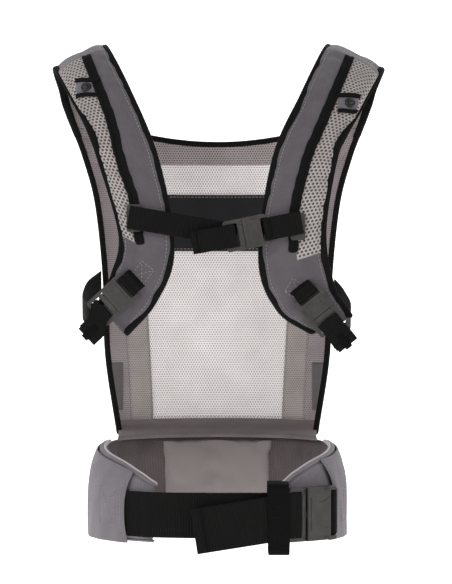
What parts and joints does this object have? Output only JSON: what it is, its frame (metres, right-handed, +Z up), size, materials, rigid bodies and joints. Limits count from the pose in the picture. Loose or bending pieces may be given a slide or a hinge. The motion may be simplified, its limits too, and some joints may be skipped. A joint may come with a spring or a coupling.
{
  "type": "soft baby carrier",
  "caption": "Soft structured baby carrier with mesh body panel, padded waist belt and shoulder straps, webbing and side-release buckles.",
  "frame": {"origin": "centre of the padded waist belt's ring, level with the lowest webbing", "axes": "+Z up along the wearer's back, +Y towards the wearer's front where the body panel is, +X to the wearer's right"},
  "size_m": [0.3751, 0.2523, 0.5751],
  "materials": {
    "grey_fabric": "woven",
    "light_mesh": "open mesh",
    "dark_fabric": "woven",
    "dark_lining": "spacer mesh",
    "black_binding": "ribbed tape",
    "light_piping": "piping",
    "black_webbing": "ribbed webbing",
    "black_elastic": "elastic",
    "buckle_plastic": "moulded",
    "foam": "soft",
    "label_cloth": "satin woven",
    "snap_metal": "satin"
  },
  "bodies": {
    "carrier": {"body_panel": "light_mesh", "panel_edge_bindings": "black_binding", "panel_top_binding": "black_binding", "panel_gussets": "grey_fabric", "neck_band": "dark_fabric", "care_label": "label_cloth", "belt_cover": "grey_fabric", "belt_foam": "foam", "belt_lining": "dark_lining", "belt_piping": "light_piping", "belt_flap_left": "grey_fabric", "belt_flap_right": "grey_fabric", "waist_webbing_long": "black_webbing", "waist_webbing_short": "black_webbing", "waist_safety_loop": "black_elastic", "waist_buckle_female": "buckle_plastic", "shoulder_left_buckle_female": "buckle_plastic", "shoulder_right_buckle_female": "buckle_plastic", "strap_lining_left": "dark_lining", "strap_foam_left": "foam", "strap_cover_left": "grey_fabric", "strap_bindings_left": "black_binding", "strap_yoke_left": "grey_fabric", "strap_rail_left": "black_binding", "snap_tab_left": "grey_fabric", "snap_stud_left": "snap_metal", "anchor_webbing_left": "black_webbing", "side_webbing_left": "black_webbing", "strap_lining_right": "dark_lining", "strap_foam_right": "foam", "strap_cover_right": "grey_fabric", "strap_bindings_right": "black_binding", "strap_yoke_right": "grey_fabric", "strap_rail_right": "black_binding", "snap_tab_right": "grey_fabric", "snap_stud_right": "snap_metal", "anchor_webbing_right": "black_webbing", "side_webbing_right": "black_webbing"},
    "chest_right": {"chest_slider_right": "buckle_plastic", "chest_webbing_short": "black_webbing", "chest_buckle_female": "buckle_plastic"},
    "chest_left": {"chest_slider_left": "buckle_plastic", "chest_webbing_long": "black_webbing"},
    "chest_male": {"chest_buckle_male": "buckle_plastic", "chest_webbing_tail": "black_webbing"},
    "waist_male": {"waist_buckle_male": "buckle_plastic", "waist_webbing_tail": "black_webbing"},
    "shoulder_male_left": {"shoulder_left_buckle_male": "buckle_plastic", "webbing_roll_left": "black_webbing"},
    "shoulder_male_right": {"shoulder_right_buckle_male": "buckle_plastic", "webbing_roll_right": "black_webbing"},
    "waist_prong_a": {"waist_prong_a": "buckle_plastic"},
    "waist_prong_b": {"waist_prong_b": "buckle_plastic"},
    "chest_prong_a": {"chest_prong_a": "buckle_plastic"},
    "chest_prong_b": {"chest_prong_b": "buckle_plastic"},
    "shoulder_left_prong_a": {"shoulder_left_prong_a": "buckle_plastic"},
    "shoulder_left_prong_b": {"shoulder_left_prong_b": "buckle_plastic"},
    "shoulder_right_prong_a": {"shoulder_right_prong_a": "buckle_plastic"},
    "shoulder_right_prong_b": {"shoulder_right_prong_b": "buckle_plastic"}
  },
  "joints": [
    {"name": "chest_strap_height", "type": "slide", "parent": "carrier", "child": "chest_right", "axis": [0.0896, 0.0199, 0.9958], "range_m": [-0.006, 0.022]},
    {"name": "chest_strap_spread", "type": "slide", "parent": "chest_right", "child": "chest_left", "axis": [-1, 0, 0], "range_m": [-0.002, 0.0074]},
    {"name": "waist_release", "type": "slide", "parent": "carrier", "child": "waist_male", "axis": [-0.7915, -0.6112, 0], "range_m": [0, 0.034], "deforming": ["waist_prong_a", "waist_prong_b", "waist_safety_loop"]},
    {"name": "waist_squeeze_a", "type": "hinge", "parent": "waist_male", "child": "waist_prong_a", "pos_m": [0.0943, -0.09947, 0.02], "axis": [0.6112, -0.7915, 0], "range_deg": [0, 5], "stiffness_Nm_per_rad": 0.01},
    {"name": "waist_squeeze_b", "type": "hinge", "parent": "waist_male", "child": "waist_prong_b", "pos_m": [0.0943, -0.09947, 0.069], "axis": [-0.6112, 0.7915, 0], "range_deg": [0, 5], "stiffness_Nm_per_rad": 0.01},
    {"name": "chest_release", "type": "slide", "parent": "chest_right", "child": "chest_male", "axis": [-0.981, 0, -0.194], "range_m": [0, 0.021], "deforming": ["chest_prong_a", "chest_prong_b"]},
    {"name": "chest_squeeze_a", "type": "hinge", "parent": "chest_male", "child": "chest_prong_a", "pos_m": [0.02948, -0.1255, 0.34016], "axis": [0, -1, 0], "range_deg": [0, 7], "stiffness_Nm_per_rad": 0.01},
    {"name": "chest_squeeze_b", "type": "hinge", "parent": "chest_male", "child": "chest_prong_b", "pos_m": [0.02483, -0.1255, 0.36371], "axis": [0, 1, 0], "range_deg": [0, 7], "stiffness_Nm_per_rad": 0.01},
    {"name": "shoulder_left_release", "type": "slide", "parent": "carrier", "child": "shoulder_male_left", "axis": [-0.7312, 0, -0.6822], "range_m": [0, 0.021], "deforming": ["shoulder_left_prong_a", "shoulder_left_prong_b"]},
    {"name": "shoulder_left_squeeze_a", "type": "hinge", "parent": "shoulder_male_left", "child": "shoulder_left_prong_a", "pos_m": [-0.10923, -0.124, 0.26755], "axis": [0, -1, 0], "range_deg": [0, 7], "stiffness_Nm_per_rad": 0.01},
    {"name": "shoulder_left_squeeze_b", "type": "hinge", "parent": "shoulder_male_left", "child": "shoulder_left_prong_b", "pos_m": [-0.12561, -0.124, 0.2851], "axis": [0, 1, 0], "range_deg": [0, 7], "stiffness_Nm_per_rad": 0.01},
    {"name": "shoulder_right_release", "type": "slide", "parent": "carrier", "child": "shoulder_male_right", "axis": [0.6292, 0, -0.7772], "range_m": [0, 0.021], "deforming": ["shoulder_right_prong_a", "shoulder_right_prong_b"]},
    {"name": "shoulder_right_squeeze_a", "type": "hinge", "parent": "shoulder_male_right", "child": "shoulder_right_prong_a", "pos_m": [0.12525, -0.124, 0.2713], "axis": [0, -1, 0], "range_deg": [0, 7], "stiffness_Nm_per_rad": 0.01},
    {"name": "shoulder_right_squeeze_b", "type": "hinge", "parent": "shoulder_male_right", "child": "shoulder_right_prong_b", "pos_m": [0.1066, -0.124, 0.2562], "axis": [0, 1, 0], "range_deg": [0, 7], "stiffness_Nm_per_rad": 0.01}
  ],
  "couplings": [
    {"joint": "chest_strap_spread", "follows": "chest_strap_height", "ratio": 0.33},
    {"joint": "waist_squeeze_b", "follows": "waist_squeeze_a", "ratio": 1},
    {"joint": "chest_squeeze_b", "follows": "chest_squeeze_a", "ratio": 1},
    {"joint": "shoulder_left_squeeze_b", "follows": "shoulder_left_squeeze_a", "ratio": 1},
    {"joint": "shoulder_right_squeeze_b", "follows": "shoulder_right_squeeze_a", "ratio": 1}
  ]
}
